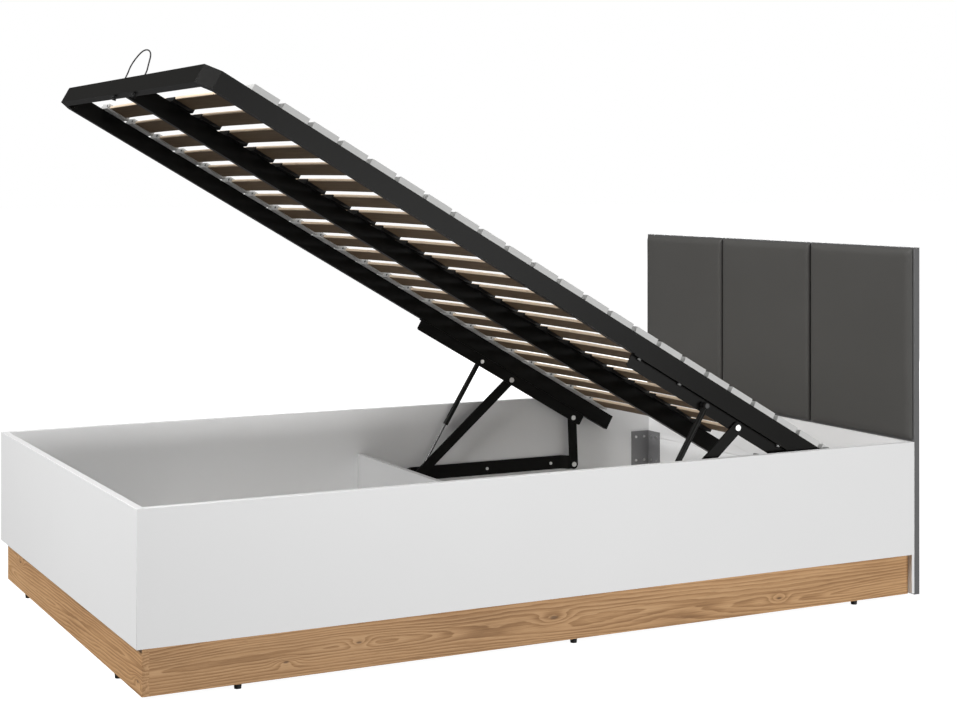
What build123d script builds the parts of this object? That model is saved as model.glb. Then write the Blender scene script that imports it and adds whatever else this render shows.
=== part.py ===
from build123d import *
import os
from math import atan2, cos, degrees, hypot, pi, radians, sin, sqrt, tan

os.makedirs("parts", exist_ok=True)

# Box, in millimetres: x across the bed, y from foot to head, z up from the floor
bed_width = 1260
box_length = 2050
headboard_board_thickness = 17
board_thickness = 18
head_panel_thickness = 8
glide_height = 10
plinth_top = 113
box_top = 402
headboard_top = 902
board_edge_radius = 1

half_width = bed_width / 2
foot_face = -(box_length + headboard_board_thickness) / 2
box_back = foot_face + box_length
head_panel_front = box_back - head_panel_thickness
headboard_back = box_back + headboard_board_thickness
inner_half_width = half_width - board_thickness
inner_foot = foot_face + board_thickness
head_panel_bottom = 13

# Plinth and storage bays
plinth_setback = 16
plinth_thickness = 16
plinth_outer_half = half_width - plinth_setback
plinth_inner_half = plinth_outer_half - plinth_thickness
plinth_foot_front = foot_face + plinth_setback
plinth_foot_back = plinth_foot_front + plinth_thickness
plinth_rear_front = head_panel_front - plinth_thickness
partition_from_head = 1017
partition_front = box_back - partition_from_head
partition_thickness = 16
partition_top = 272
floor_thickness = 10
batten_size = 20
bearer_thickness = 18

# Glides
glide_radius = 8.5
glide_foot_radius = 7.5
glide_from_foot = 227
glide_from_head = 177
middle_glide_shift = 25
side_glide_stations = [
    foot_face + glide_from_foot,
    foot_face + box_length / 2 + middle_glide_shift,
    box_back - glide_from_head,
]
foot_glide_offset = half_width - 216

# Corner brackets and their screws
bracket_leg = 65
bracket_height = 110
bracket_thickness = 3
bracket_top_head = 278
bracket_top_foot = 270
bracket_bend_radius = 4
head_bracket_width = 100
head_bracket_top = 282
head_bracket_columns = [-30, 30]
screw_columns = [20, 50]
screw_rows = [18, 92]
screw_radius = 2
screw_head_radius = 4
screw_head_height = 2.2
screw_length = 15

# Headboard pads
pad_thickness = 12
pad_crown = 3
pad_crown_inset = 70
pad_count = 3
pad_gap = 0.3
pad_bottom = 404
pad_corner_radius = 5
pad_edge_radius = 5
pad_rim_radius = 4

# Tubes of the slat frame; u runs along the frame from foot to head, w stands up from its underside
frame_side_gap = 16
frame_shortening = 70.4
frame_half_width = inner_half_width - frame_side_gap
frame_length = box_length - frame_shortening
frame_tilt = 29.9
frame_chamfer = 33
tube_width = 20
tube_height = 45
tube_wall = 1.5
plug_flange = 2
plug_depth = 12

# Slats with their end caps and clips
slat_count = 23
slat_first_cap = 108.5
slat_last_gap = 57.3
slat_width = 53
slat_thickness = 8
slat_end_wall = 3
slat_half_length = frame_half_width - slat_end_wall
slat_bow = 4
slat_edge_radius = 2.5
cap_length = 67
cap_reach = 66
cap_inner_end = frame_half_width - cap_reach
slat_pitch = (frame_length - slat_first_cap - cap_length - slat_last_gap) / (slat_count - 1)
cap_floor = 3
cap_top = 59.5
cap_groove_width = 3
cap_groove_depth = 0.8
cap_groove_stations = [12, 32, 52]
peg_radius = 2.5
peg_length = 1.5
peg_inset = 6
clip_half_width = 35
clip_lip_thickness = 3
clip_lip_height = 4

# Lift fitting: pivots in the long vertical plane, lengths and angles of the open bed
base_pivot_from_head = 292.2
base_pivot_y = head_panel_front - base_pivot_from_head
base_pivot_z = 194
short_arm_length = 145.4
short_arm_angle = 92.29
long_arm_length = 471.12
long_arm_angle = 40.68
short_arm_pivot_u = frame_length - 123
short_arm_pivot_w = -22.1
long_arm_pivot_u = frame_length - 374.7
long_arm_pivot_w = -19.7
gas_pivot_u = frame_length - 492.6
gas_pivot_w = -17
gas_pin_along_arm = 80

# Lift fitting: layers across the bed, from the middle outwards
lift_rail_inset = 17
lift_rail_inner = frame_half_width - lift_rail_inset
lift_rail_thickness = 3
lift_rail_depth = 33
lift_rail_start = frame_length - 733.6
lift_rail_end = frame_length - 91.6
lift_bolt_stations = [lift_rail_start + 22, lift_rail_start + 154, lift_rail_end - 150]
lift_bolt_shift = 1
arm_side_gap = 2
arm_inner = lift_rail_inner + lift_rail_thickness + arm_side_gap
arm_thickness = 5
arm_width = 29
plate_side_gap = 1
base_plate_inner = arm_inner + arm_thickness + plate_side_gap
base_rail_thickness = 4
base_rail_top = 221
base_rail_bottom = 180
base_plate_bottom = 138
base_plate_reach = 22
base_rail_end_reach = 15
base_joggle_start = 15
base_joggle_slope = 45
base_slope_end = 70
base_rail_corner_radius = 6
base_screw_stations = [base_pivot_y - 513.8, base_pivot_y - 291.8, base_pivot_y - 69.8]
base_screw_z = 199
base_screw_head_radius = 4.5
base_screw_head_height = 2.5
gas_spring_offset = 8
gas_spring_x = base_plate_inner + gas_spring_offset

# Rivets, studs and running clearances
rivet_radius = 5
rivet_head_radius = 7.5
rivet_head_height = 2.5
washer_radius = 9
running_clearance = 0.05
side_play = 0.1
stud_radius = 4
stud_collar_radius = 7
stud_head_radius = 6
stud_head_height = 2
bolt_radius = 3
bolt_head_radius = 5
bolt_head_height = 4
bolt_length = 12

# Gas spring
eye_radius = 8.5
eye_width = 10
cylinder_radius = 7.5
cylinder_bore = 6
cylinder_start = 13
cylinder_end = 217
cylinder_wall_end = 6
rod_radius = 3
rod_neck_radius = 4.4
rod_neck_end = 20
eye_neck_radius = 4.4
piston_radius = 5.95
piston_length = 8
piston_gap = 3
open_pin_gap = 0.3

# Pull loop
cord_radius = 1.8
cord_hole_clearance = 2
cord_station = 10
knot_radius = 7
cord_bend_share = 0.45
cord_points = [
    (-70, -6),
    (-70, 54),
    (-86, 92),
    (-62, 124),
    (-20, 133),
    (32, 120),
    (74, 84),
    (95, 54),
    (95, -6),
]

# Pivots worked out from the lengths and angles above
tilt_cos = cos(radians(frame_tilt))
tilt_sin = sin(radians(frame_tilt))
frame_pivot_y = base_pivot_y + short_arm_length * cos(radians(short_arm_angle))
frame_pivot_z = base_pivot_z + short_arm_length * sin(radians(short_arm_angle))
frame_origin_y = frame_pivot_y - short_arm_pivot_u * tilt_cos - short_arm_pivot_w * tilt_sin
frame_origin_z = frame_pivot_z + short_arm_pivot_u * tilt_sin - short_arm_pivot_w * tilt_cos


def frame_point(u, w):
    """Y and z of the point u along the lifted frame and w above its underside."""
    return (
        frame_origin_y + u * tilt_cos + w * tilt_sin,
        frame_origin_z - u * tilt_sin + w * tilt_cos,
    )


long_pivot_y, long_pivot_z = frame_point(long_arm_pivot_u, long_arm_pivot_w)
arm_foot_y = long_pivot_y - long_arm_length * cos(radians(long_arm_angle))
arm_foot_z = long_pivot_z - long_arm_length * sin(radians(long_arm_angle))
gas_top_y, gas_top_z = frame_point(gas_pivot_u, gas_pivot_w)
gas_pin_y = arm_foot_y + gas_pin_along_arm * cos(radians(long_arm_angle))
gas_pin_z = arm_foot_z + gas_pin_along_arm * sin(radians(long_arm_angle))
gas_length = hypot(gas_pin_y - gas_top_y, gas_pin_z - gas_top_z)
gas_angle = degrees(atan2(gas_pin_z - gas_top_z, gas_pin_y - gas_top_y))

# Planes of the lifted frame: its underside, and a cross section that faces the foot end
frame_underside = Plane(
    origin=(0, frame_origin_y, frame_origin_z),
    x_dir=(1, 0, 0),
    z_dir=(0, tilt_sin, tilt_cos),
)


def frame_side(x):
    """Plane along the lifted frame at x: first axis u, second axis w, facing +x."""
    return Plane(
        origin=(x, frame_origin_y, frame_origin_z),
        x_dir=(0, tilt_cos, -tilt_sin),
        z_dir=(1, 0, 0),
    )


def frame_section(u):
    """Plane across the lifted frame at u: first axis x, second axis w, facing the foot end."""
    y, z = frame_point(u, 0)
    return Plane(origin=(0, y, z), x_dir=(1, 0, 0), z_dir=(0, -tilt_cos, tilt_sin))


def rectangle_between(first_start, first_end, second_start, second_end):
    """Rectangle drawn in the open sketch between the given limits."""
    with Locations(((first_start + first_end) / 2, (second_start + second_end) / 2)):
        Rectangle(first_end - first_start, second_end - second_start)


# Seats of the bracket screws: point on the bracket's face, direction the screw head looks
def bracket_screw_seats():
    """List of screw seats of the four corner brackets and of the head bracket."""
    seats = []
    for side in (1, -1):
        for wall_y, inward, top in (
            (inner_foot, 1, bracket_top_foot),
            (head_panel_front, -1, bracket_top_head),
        ):
            for column in screw_columns:
                for row in screw_rows:
                    z = top - row
                    side_face = side * (inner_half_width - bracket_thickness)
                    seats.append(((side_face, wall_y + inward * column, z), (-side, 0, 0)))
                    end_face = wall_y + inward * bracket_thickness
                    end_x = side * (inner_half_width - column)
                    seats.append(((end_x, end_face, z), (0, inward, 0)))
    for column in head_bracket_columns:
        for row in screw_rows:
            face = head_panel_front - bracket_thickness
            seats.append(((column, face, head_bracket_top - row), (0, -1, 0)))
    return seats


def base_screw_seats():
    """List of screw seats of the two base rails."""
    seats = []
    for side in (1, -1):
        for y in base_screw_stations:
            face = side * (inner_half_width - base_rail_thickness)
            seats.append(((face, y, base_screw_z), (-side, 0, 0)))
    return seats


def seat_locations(seats):
    """Places with the local z axis pointing out of the screwed face."""
    return [Location(Plane(origin=point, z_dir=direction)) for point, direction in seats]


all_screw_seats = bracket_screw_seats() + base_screw_seats()


def seats_facing(x_direction, y_direction):
    """Screw seats whose heads look in the given direction."""
    return [seat for seat in all_screw_seats if seat[1] == (x_direction, y_direction, 0)]


# Long side panels with the pilot holes of their screws
with BuildPart() as side_panel_right:
    with BuildSketch(Plane.XY.offset(plinth_top)):
        rectangle_between(inner_half_width, half_width, inner_foot, head_panel_front)
    extrude(amount=box_top - plinth_top)
    top_edges = side_panel_right.edges().filter_by(Axis.Y).group_by(Axis.Z)[-1]
    fillet(top_edges, board_edge_radius)
    with Locations(*seat_locations(seats_facing(-1, 0))):
        Cylinder(
            screw_radius,
            screw_length,
            align=(Align.CENTER, Align.CENTER, Align.MAX),
            mode=Mode.SUBTRACT,
        )
side_panel_right.part.label = "side_panel_right"
export_step(side_panel_right.part, "parts/side_panel_right.step")

with BuildPart() as side_panel_left:
    mirror(side_panel_right.part, about=Plane.YZ)
side_panel_left.part.label = "side_panel_left"
export_step(side_panel_left.part, "parts/side_panel_left.step")

# Foot panel, covering the ends of the long sides
with BuildPart() as foot_panel:
    with BuildSketch(Plane.XY.offset(plinth_top)):
        rectangle_between(-half_width, half_width, foot_face, inner_foot)
    extrude(amount=box_top - plinth_top)
    top_edges = foot_panel.edges().filter_by(Axis.X).group_by(Axis.Z)[-1]
    corner_edges = foot_panel.edges().filter_by(Axis.Z).group_by(Axis.Y)[0]
    fillet(top_edges + corner_edges, board_edge_radius)
    with Locations(*seat_locations(seats_facing(0, 1))):
        Cylinder(
            screw_radius,
            screw_length,
            align=(Align.CENTER, Align.CENTER, Align.MAX),
            mode=Mode.SUBTRACT,
        )
foot_panel.part.label = "foot_panel"
export_step(foot_panel.part, "parts/foot_panel.step")

# Thin head panel behind the ends of the long sides
with BuildPart() as head_panel:
    with BuildSketch(Plane.XY.offset(head_panel_bottom)):
        rectangle_between(-half_width, half_width, head_panel_front, box_back)
    extrude(amount=box_top - head_panel_bottom)
    with Locations(*seat_locations(seats_facing(0, -1))):
        Cylinder(
            screw_radius,
            bracket_thickness + head_panel_thickness,
            align=(Align.CENTER, Align.CENTER, Align.MAX),
            mode=Mode.SUBTRACT,
        )
head_panel.part.label = "head_panel"
export_step(head_panel.part, "parts/head_panel.step")

# Plinth boards
with BuildPart() as plinth_foot:
    with BuildSketch(Plane.XY.offset(glide_height)):
        rectangle_between(
            -plinth_outer_half, plinth_outer_half, plinth_foot_front, plinth_foot_back
        )
    extrude(amount=plinth_top - glide_height)
plinth_foot.part.label = "plinth_foot"
export_step(plinth_foot.part, "parts/plinth_foot.step")

with BuildPart() as plinth_right:
    with BuildSketch(Plane.XY.offset(glide_height)):
        rectangle_between(
            plinth_inner_half, plinth_outer_half, plinth_foot_back, head_panel_front
        )
    extrude(amount=plinth_top - glide_height)
plinth_right.part.label = "plinth_right"
export_step(plinth_right.part, "parts/plinth_right.step")

with BuildPart() as plinth_left:
    mirror(plinth_right.part, about=Plane.YZ)
plinth_left.part.label = "plinth_left"
export_step(plinth_left.part, "parts/plinth_left.step")

with BuildPart() as plinth_rear:
    with BuildSketch(Plane.XY.offset(glide_height)):
        rectangle_between(
            -plinth_inner_half, plinth_inner_half, plinth_rear_front, head_panel_front
        )
    extrude(amount=plinth_top - glide_height)
plinth_rear.part.label = "plinth_rear"
export_step(plinth_rear.part, "parts/plinth_rear.step")

# Partition between the two bays, standing on the floor boards
with BuildPart() as partition:
    with BuildSketch(Plane.XY.offset(plinth_top)):
        rectangle_between(
            -inner_half_width,
            inner_half_width,
            partition_front,
            partition_front + partition_thickness,
        )
    extrude(amount=partition_top - plinth_top)
    top_edges = partition.edges().filter_by(Axis.X).group_by(Axis.Z)[-1]
    fillet(top_edges, board_edge_radius)
partition.part.label = "partition"
export_step(partition.part, "parts/partition.step")

# Floor boards, their joint under the middle of the partition
floor_joint = partition_front + partition_thickness / 2

with BuildPart() as storage_floor_foot:
    with BuildSketch(Plane.XY.offset(plinth_top - floor_thickness)):
        rectangle_between(-plinth_inner_half, plinth_inner_half, plinth_foot_back, floor_joint)
    extrude(amount=floor_thickness)
storage_floor_foot.part.label = "storage_floor_foot"
export_step(storage_floor_foot.part, "parts/storage_floor_foot.step")

with BuildPart() as storage_floor_head:
    with BuildSketch(Plane.XY.offset(plinth_top - floor_thickness)):
        rectangle_between(-plinth_inner_half, plinth_inner_half, floor_joint, plinth_rear_front)
    extrude(amount=floor_thickness)
storage_floor_head.part.label = "storage_floor_head"
export_step(storage_floor_head.part, "parts/storage_floor_head.step")

# Battens round the inside of the plinth, under the floor boards
batten_bottom = plinth_top - floor_thickness - batten_size
batten_inner_half = plinth_inner_half - batten_size

with BuildPart() as floor_battens:
    with BuildSketch(Plane.XY.offset(batten_bottom)):
        rectangle_between(
            batten_inner_half, plinth_inner_half, plinth_foot_back, plinth_rear_front
        )
        rectangle_between(
            -plinth_inner_half, -batten_inner_half, plinth_foot_back, plinth_rear_front
        )
    extrude(amount=batten_size)
floor_battens.part.label = "floor_battens"
export_step(floor_battens.part, "parts/floor_battens.step")

# Bearer on edge under the middle of the floor boards
with BuildPart() as centre_bearer:
    with BuildSketch(Plane.XY.offset(glide_height)):
        rectangle_between(
            -bearer_thickness / 2, bearer_thickness / 2, plinth_foot_back, plinth_rear_front
        )
    extrude(amount=plinth_top - floor_thickness - glide_height)
centre_bearer.part.label = "centre_bearer"
export_step(centre_bearer.part, "parts/centre_bearer.step")

# Plastic glides under the plinth boards and the bearer
plinth_mid_half = plinth_inner_half + plinth_thickness / 2
plinth_foot_mid = plinth_foot_front + plinth_thickness / 2
glide_places = [(x, y) for x in (-plinth_mid_half, 0, plinth_mid_half) for y in side_glide_stations]
glide_places += [(side * foot_glide_offset, plinth_foot_mid) for side in (1, -1)]

with BuildPart() as glides:
    with Locations(*[(x, y, 0) for x, y in glide_places]):
        Cone(
            glide_foot_radius,
            glide_radius,
            glide_height,
            align=(Align.CENTER, Align.CENTER, Align.MIN),
        )
glides.part.label = "glides"
export_step(glides.part, "parts/glides.step")

# Steel angles in the four corners of the box
with BuildPart() as corner_brackets:
    for side in (1, -1):
        for wall_y, inward, top in (
            (inner_foot, 1, bracket_top_foot),
            (head_panel_front, -1, bracket_top_head),
        ):
            corner_x = side * inner_half_width
            across = -side
            with BuildSketch(Plane.XY.offset(top - bracket_height)) as angle_profile:
                with BuildLine():
                    Polyline(
                        (corner_x, wall_y),
                        (corner_x + across * bracket_leg, wall_y),
                        (corner_x + across * bracket_leg, wall_y + inward * bracket_thickness),
                        (
                            corner_x + across * bracket_thickness,
                            wall_y + inward * bracket_thickness,
                        ),
                        (corner_x + across * bracket_thickness, wall_y + inward * bracket_leg),
                        (corner_x, wall_y + inward * bracket_leg),
                        close=True,
                    )
                make_face()
                outer_corner = angle_profile.vertices().sort_by_distance((corner_x, wall_y, 0))[0]
                fillet(outer_corner, bracket_bend_radius)
            extrude(amount=bracket_height)
    with Locations(*seat_locations(bracket_screw_seats())):
        Cylinder(screw_radius, 2 * bracket_thickness, mode=Mode.SUBTRACT)
corner_brackets.part.label = "corner_brackets"
export_step(corner_brackets.part, "parts/corner_brackets.step")

# Steel plate in the middle of the head panel
with BuildPart() as head_bracket:
    with BuildSketch(Plane.XZ.offset(-(head_panel_front - bracket_thickness))):
        rectangle_between(
            -head_bracket_width / 2,
            head_bracket_width / 2,
            head_bracket_top - bracket_height,
            head_bracket_top,
        )
    extrude(amount=-bracket_thickness)
    fillet(head_bracket.edges().filter_by(Axis.Y), bracket_bend_radius)
    with Locations(*seat_locations(bracket_screw_seats())):
        Cylinder(screw_radius, 2 * bracket_thickness, mode=Mode.SUBTRACT)
head_bracket.part.label = "head_bracket"
export_step(head_bracket.part, "parts/head_bracket.step")

# Screws of the brackets; those in the thin head panel are shorter
with BuildPart() as bracket_screws:
    with Locations(*seat_locations(bracket_screw_seats())):
        Cylinder(
            screw_head_radius,
            screw_head_height,
            align=(Align.CENTER, Align.CENTER, Align.MIN),
        )
    long_seats = [seat for seat in bracket_screw_seats() if seat[1] != (0, -1, 0)]
    short_seats = [seat for seat in bracket_screw_seats() if seat[1] == (0, -1, 0)]
    with Locations(*seat_locations(long_seats)):
        Cylinder(screw_radius, screw_length, align=(Align.CENTER, Align.CENTER, Align.MAX))
    with Locations(*seat_locations(short_seats)):
        Cylinder(
            screw_radius,
            bracket_thickness + head_panel_thickness,
            align=(Align.CENTER, Align.CENTER, Align.MAX),
        )
bracket_screws.part.label = "bracket_screws"
export_step(bracket_screws.part, "parts/bracket_screws.step")

# Headboard board
with BuildPart() as headboard_board:
    with BuildSketch(Plane.XY.offset(glide_height)):
        rectangle_between(-half_width, half_width, box_back, headboard_back)
    extrude(amount=headboard_top - glide_height)
    upper_edges = headboard_board.edges().filter_by(Axis.X).group_by(Axis.Z)[-1]
    fillet(upper_edges + headboard_board.edges().filter_by(Axis.Z), board_edge_radius)
headboard_board.part.label = "headboard_board"
export_step(headboard_board.part, "parts/headboard_board.step")

# Padded panels on the board: rounded edges and a shallow crown
pad_width = bed_width / pad_count
pad_height = headboard_top - pad_bottom
pad_middle_z = (headboard_top + pad_bottom) / 2
pad_back = Plane(origin=(0, box_back, pad_middle_z), x_dir=(1, 0, 0), z_dir=(0, -1, 0))
pad_face = pad_back.offset(pad_thickness)

with BuildPart() as headboard_pad_centre:
    with BuildSketch(pad_back):
        RectangleRounded(pad_width - 2 * pad_gap, pad_height - pad_gap, pad_corner_radius)
    extrude(amount=pad_thickness)
    rim = headboard_pad_centre.faces().sort_by(Axis.Y)[0].edges()
    fillet(rim, pad_rim_radius)
    with BuildSketch(pad_face):
        RectangleRounded(
            pad_width - 4 * pad_edge_radius, pad_height - 4 * pad_edge_radius, pad_corner_radius
        )
    with BuildSketch(pad_face.offset(pad_crown)):
        RectangleRounded(
            pad_width - 2 * pad_crown_inset, pad_height - 2 * pad_crown_inset, pad_corner_radius
        )
    loft()
headboard_pad_centre.part.label = "headboard_pad_centre"
export_step(headboard_pad_centre.part, "parts/headboard_pad_centre.step")

with BuildPart() as headboard_pad_right:
    add(headboard_pad_centre.part.moved(Location((pad_width, 0, 0))))
headboard_pad_right.part.label = "headboard_pad_right"
export_step(headboard_pad_right.part, "parts/headboard_pad_right.step")

with BuildPart() as headboard_pad_left:
    add(headboard_pad_centre.part.moved(Location((-pad_width, 0, 0))))
headboard_pad_left.part.label = "headboard_pad_left"
export_step(headboard_pad_left.part, "parts/headboard_pad_left.step")

# Base rail: strip on the side panel, joggled inwards at both ends to carry the arms
joggle = inner_half_width - base_rail_thickness - base_plate_inner
bend_shift = base_rail_thickness * tan(radians(base_joggle_slope / 2))
plate_front = arm_foot_y - base_plate_reach
plate_bend = arm_foot_y + base_joggle_start
rear_bend = base_pivot_y - base_joggle_start - joggle
rail_rear = base_pivot_y + base_rail_end_reach
strip_inner = inner_half_width - base_rail_thickness
plate_outer = base_plate_inner + base_rail_thickness

with BuildPart() as base_rail_right:
    with BuildSketch(Plane.XY.offset(base_plate_bottom)):
        with BuildLine():
            Polyline(
                (base_plate_inner, plate_front),
                (base_plate_inner, plate_bend),
                (strip_inner, plate_bend + joggle),
                (strip_inner, rear_bend),
                (base_plate_inner, rear_bend + joggle),
                (base_plate_inner, rail_rear),
                (plate_outer, rail_rear),
                (plate_outer, rear_bend + joggle + bend_shift),
                (inner_half_width, rear_bend + bend_shift),
                (inner_half_width, plate_bend + joggle - bend_shift),
                (plate_outer, plate_bend - bend_shift),
                (plate_outer, plate_front),
                close=True,
            )
        make_face()
    extrude(amount=base_rail_top - base_plate_bottom)
    with BuildSketch(Plane.YZ.offset(base_plate_inner)) as rail_outline:
        with BuildLine():
            Polyline(
                (plate_front, base_plate_bottom),
                (arm_foot_y + base_plate_reach, base_plate_bottom),
                (arm_foot_y + base_slope_end, base_rail_bottom),
                (rail_rear, base_rail_bottom),
                (rail_rear, base_rail_top),
                (plate_front, base_rail_top),
                close=True,
            )
        make_face()
        fillet(rail_outline.vertices(), base_rail_corner_radius)
    extrude(amount=inner_half_width - base_plate_inner, mode=Mode.INTERSECT)
    with BuildSketch(Plane.YZ.offset(base_plate_inner)):
        with Locations((base_pivot_y, base_pivot_z)):
            Circle(rivet_radius)
    extrude(amount=base_rail_thickness, mode=Mode.SUBTRACT)
    with BuildSketch(Plane.YZ.offset(strip_inner)):
        with Locations(*[(y, base_screw_z) for y in base_screw_stations]):
            Circle(screw_radius)
    extrude(amount=base_rail_thickness, mode=Mode.SUBTRACT)
base_rail_right.part.label = "base_rail_right"
export_step(base_rail_right.part, "parts/base_rail_right.step")

with BuildPart() as base_rail_left:
    mirror(base_rail_right.part, about=Plane.YZ)
base_rail_left.part.label = "base_rail_left"
export_step(base_rail_left.part, "parts/base_rail_left.step")

with BuildPart() as base_rail_screws:
    with Locations(*seat_locations(base_screw_seats())):
        Cylinder(
            base_screw_head_radius,
            base_screw_head_height,
            align=(Align.CENTER, Align.CENTER, Align.MIN),
        )
        Cylinder(screw_radius, screw_length, align=(Align.CENTER, Align.CENTER, Align.MAX))
base_rail_screws.part.label = "base_rail_screws"
export_step(base_rail_screws.part, "parts/base_rail_screws.step")

# Arms: flat steel with rounded ends, a running bore at every pivot they turn on
arm_outer = arm_inner + arm_thickness


def arm_plane(y, z, angle):
    """Plane on the arm's inner face with its first axis along the arm, facing +x."""
    return Plane(
        origin=(arm_inner, y, z),
        x_dir=(0, cos(radians(angle)), sin(radians(angle))),
        z_dir=(1, 0, 0),
    )


with BuildPart() as short_arm_right:
    with BuildSketch(arm_plane(base_pivot_y, base_pivot_z, short_arm_angle)):
        with Locations((short_arm_length / 2, 0)):
            SlotCenterToCenter(short_arm_length, arm_width)
        with Locations((0, 0), (short_arm_length, 0)):
            Circle(rivet_radius + running_clearance, mode=Mode.SUBTRACT)
    extrude(amount=arm_thickness)
short_arm_right.part.label = "short_arm_right"
export_step(short_arm_right.part, "parts/short_arm_right.step")

with BuildPart() as short_arm_left:
    mirror(short_arm_right.part, about=Plane.YZ)
short_arm_left.part.label = "short_arm_left"
export_step(short_arm_left.part, "parts/short_arm_left.step")

with BuildPart() as long_arm_right:
    with BuildSketch(arm_plane(arm_foot_y, arm_foot_z, long_arm_angle)):
        with Locations((long_arm_length / 2, 0)):
            SlotCenterToCenter(long_arm_length, arm_width)
        with Locations((0, 0)):
            Circle(rivet_radius, mode=Mode.SUBTRACT)
        with Locations((long_arm_length, 0)):
            Circle(rivet_radius + running_clearance, mode=Mode.SUBTRACT)
    extrude(amount=arm_thickness)
long_arm_right.part.label = "long_arm_right"
export_step(long_arm_right.part, "parts/long_arm_right.step")

with BuildPart() as long_arm_left:
    mirror(long_arm_right.part, about=Plane.YZ)
long_arm_left.part.label = "long_arm_left"
export_step(long_arm_left.part, "parts/long_arm_left.step")

# Stud in the lower end of each long arm
with BuildPart() as long_arm_stud_right:
    with BuildSketch(Plane.YZ.offset(arm_inner - rivet_head_height)):
        with Locations((arm_foot_y, arm_foot_z)):
            Circle(rivet_head_radius)
    extrude(amount=rivet_head_height)
    with BuildSketch(Plane.YZ.offset(arm_inner)):
        with Locations((arm_foot_y, arm_foot_z)):
            Circle(rivet_radius)
    extrude(amount=arm_thickness)
long_arm_stud_right.part.label = "long_arm_stud_right"
export_step(long_arm_stud_right.part, "parts/long_arm_stud_right.step")

with BuildPart() as long_arm_stud_left:
    mirror(long_arm_stud_right.part, about=Plane.YZ)
long_arm_stud_left.part.label = "long_arm_stud_left"
export_step(long_arm_stud_left.part, "parts/long_arm_stud_left.step")

# Rivets of the base rails, holding the short arms
with BuildPart() as base_rivets:
    for radius, start, end in (
        (rivet_head_radius, arm_inner - side_play - rivet_head_height, arm_inner - side_play),
        (rivet_radius, arm_inner - side_play, plate_outer),
        (washer_radius, arm_outer + side_play, base_plate_inner),
        (rivet_head_radius, plate_outer, plate_outer + rivet_head_height),
    ):
        with BuildSketch(Plane.YZ.offset(start)):
            with Locations((base_pivot_y, base_pivot_z)):
                Circle(radius)
        extrude(amount=end - start)
    mirror(about=Plane.YZ)
base_rivets.part.label = "base_rivets"
export_step(base_rivets.part, "parts/base_rivets.step")

# Rivets of the lift rails, holding the upper ends of the arms
lift_rail_outer = lift_rail_inner + lift_rail_thickness
upper_pivots = [
    (long_arm_pivot_u, long_arm_pivot_w),
    (short_arm_pivot_u, short_arm_pivot_w),
]

with BuildPart() as lift_rail_rivets:
    for radius, start, end in (
        (rivet_head_radius, lift_rail_inner - rivet_head_height, lift_rail_inner),
        (rivet_radius, lift_rail_inner, arm_outer + side_play),
        (washer_radius, lift_rail_outer, arm_inner - side_play),
        (rivet_head_radius, arm_outer + side_play, arm_outer + side_play + rivet_head_height),
    ):
        with BuildSketch(frame_side(start)):
            with Locations(*upper_pivots):
                Circle(radius)
        extrude(amount=end - start)
    mirror(about=Plane.YZ)
lift_rail_rivets.part.label = "lift_rail_rivets"
export_step(lift_rail_rivets.part, "parts/lift_rail_rivets.step")

# Studs of the lift rails, holding the upper eyes of the gas springs
eye_inner = gas_spring_x - eye_width / 2
eye_outer = gas_spring_x + eye_width / 2

with BuildPart() as gas_spring_studs:
    for radius, start, end in (
        (stud_head_radius, lift_rail_inner - rivet_head_height, lift_rail_inner),
        (stud_radius, lift_rail_inner, eye_outer + side_play),
        (stud_collar_radius, lift_rail_outer, eye_inner - side_play),
        (stud_head_radius, eye_outer + side_play, eye_outer + side_play + stud_head_height),
    ):
        with BuildSketch(frame_side(start)):
            with Locations((gas_pivot_u, gas_pivot_w)):
                Circle(radius)
        extrude(amount=end - start)
    mirror(about=Plane.YZ)
gas_spring_studs.part.label = "gas_spring_studs"
export_step(gas_spring_studs.part, "parts/gas_spring_studs.step")

# Gas springs: the cylinder hangs on the lift rail, the rod ends on the long arm
gas_cos = cos(radians(gas_angle))
gas_sin = sin(radians(gas_angle))


def gas_section(distance):
    """Plane across the gas spring at a distance from its upper eye, facing the lower eye."""
    return Plane(
        origin=(gas_spring_x, gas_top_y + distance * gas_cos, gas_top_z + distance * gas_sin),
        x_dir=(1, 0, 0),
        z_dir=(0, gas_cos, gas_sin),
    )


with BuildPart() as gas_cylinder_right:
    with BuildSketch(gas_section(0)):
        Circle(eye_neck_radius)
    extrude(amount=cylinder_start)
    with BuildSketch(Plane.YZ.offset(eye_inner)):
        with Locations((gas_top_y, gas_top_z)):
            Circle(eye_radius)
    extrude(amount=eye_width)
    with BuildSketch(gas_section(cylinder_start)):
        Circle(cylinder_radius)
    extrude(amount=cylinder_end - cylinder_start)
    with BuildSketch(gas_section(cylinder_start + cylinder_wall_end)):
        Circle(cylinder_bore)
    extrude(amount=cylinder_end - cylinder_start - 2 * cylinder_wall_end, mode=Mode.SUBTRACT)
    with BuildSketch(gas_section(cylinder_end - cylinder_wall_end)):
        Circle(rod_radius + running_clearance)
    extrude(amount=cylinder_wall_end, mode=Mode.SUBTRACT)
    with BuildSketch(Plane.YZ.offset(eye_inner)):
        with Locations((gas_top_y, gas_top_z)):
            Circle(stud_radius + running_clearance)
    extrude(amount=eye_width, mode=Mode.SUBTRACT)
gas_cylinder_right.part.label = "gas_cylinder_right"
export_step(gas_cylinder_right.part, "parts/gas_cylinder_right.step")

with BuildPart() as gas_cylinder_left:
    mirror(gas_cylinder_right.part, about=Plane.YZ)
gas_cylinder_left.part.label = "gas_cylinder_left"
export_step(gas_cylinder_left.part, "parts/gas_cylinder_left.step")

piston_end = cylinder_end - cylinder_wall_end - piston_gap
pin_start = arm_outer + open_pin_gap

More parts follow.
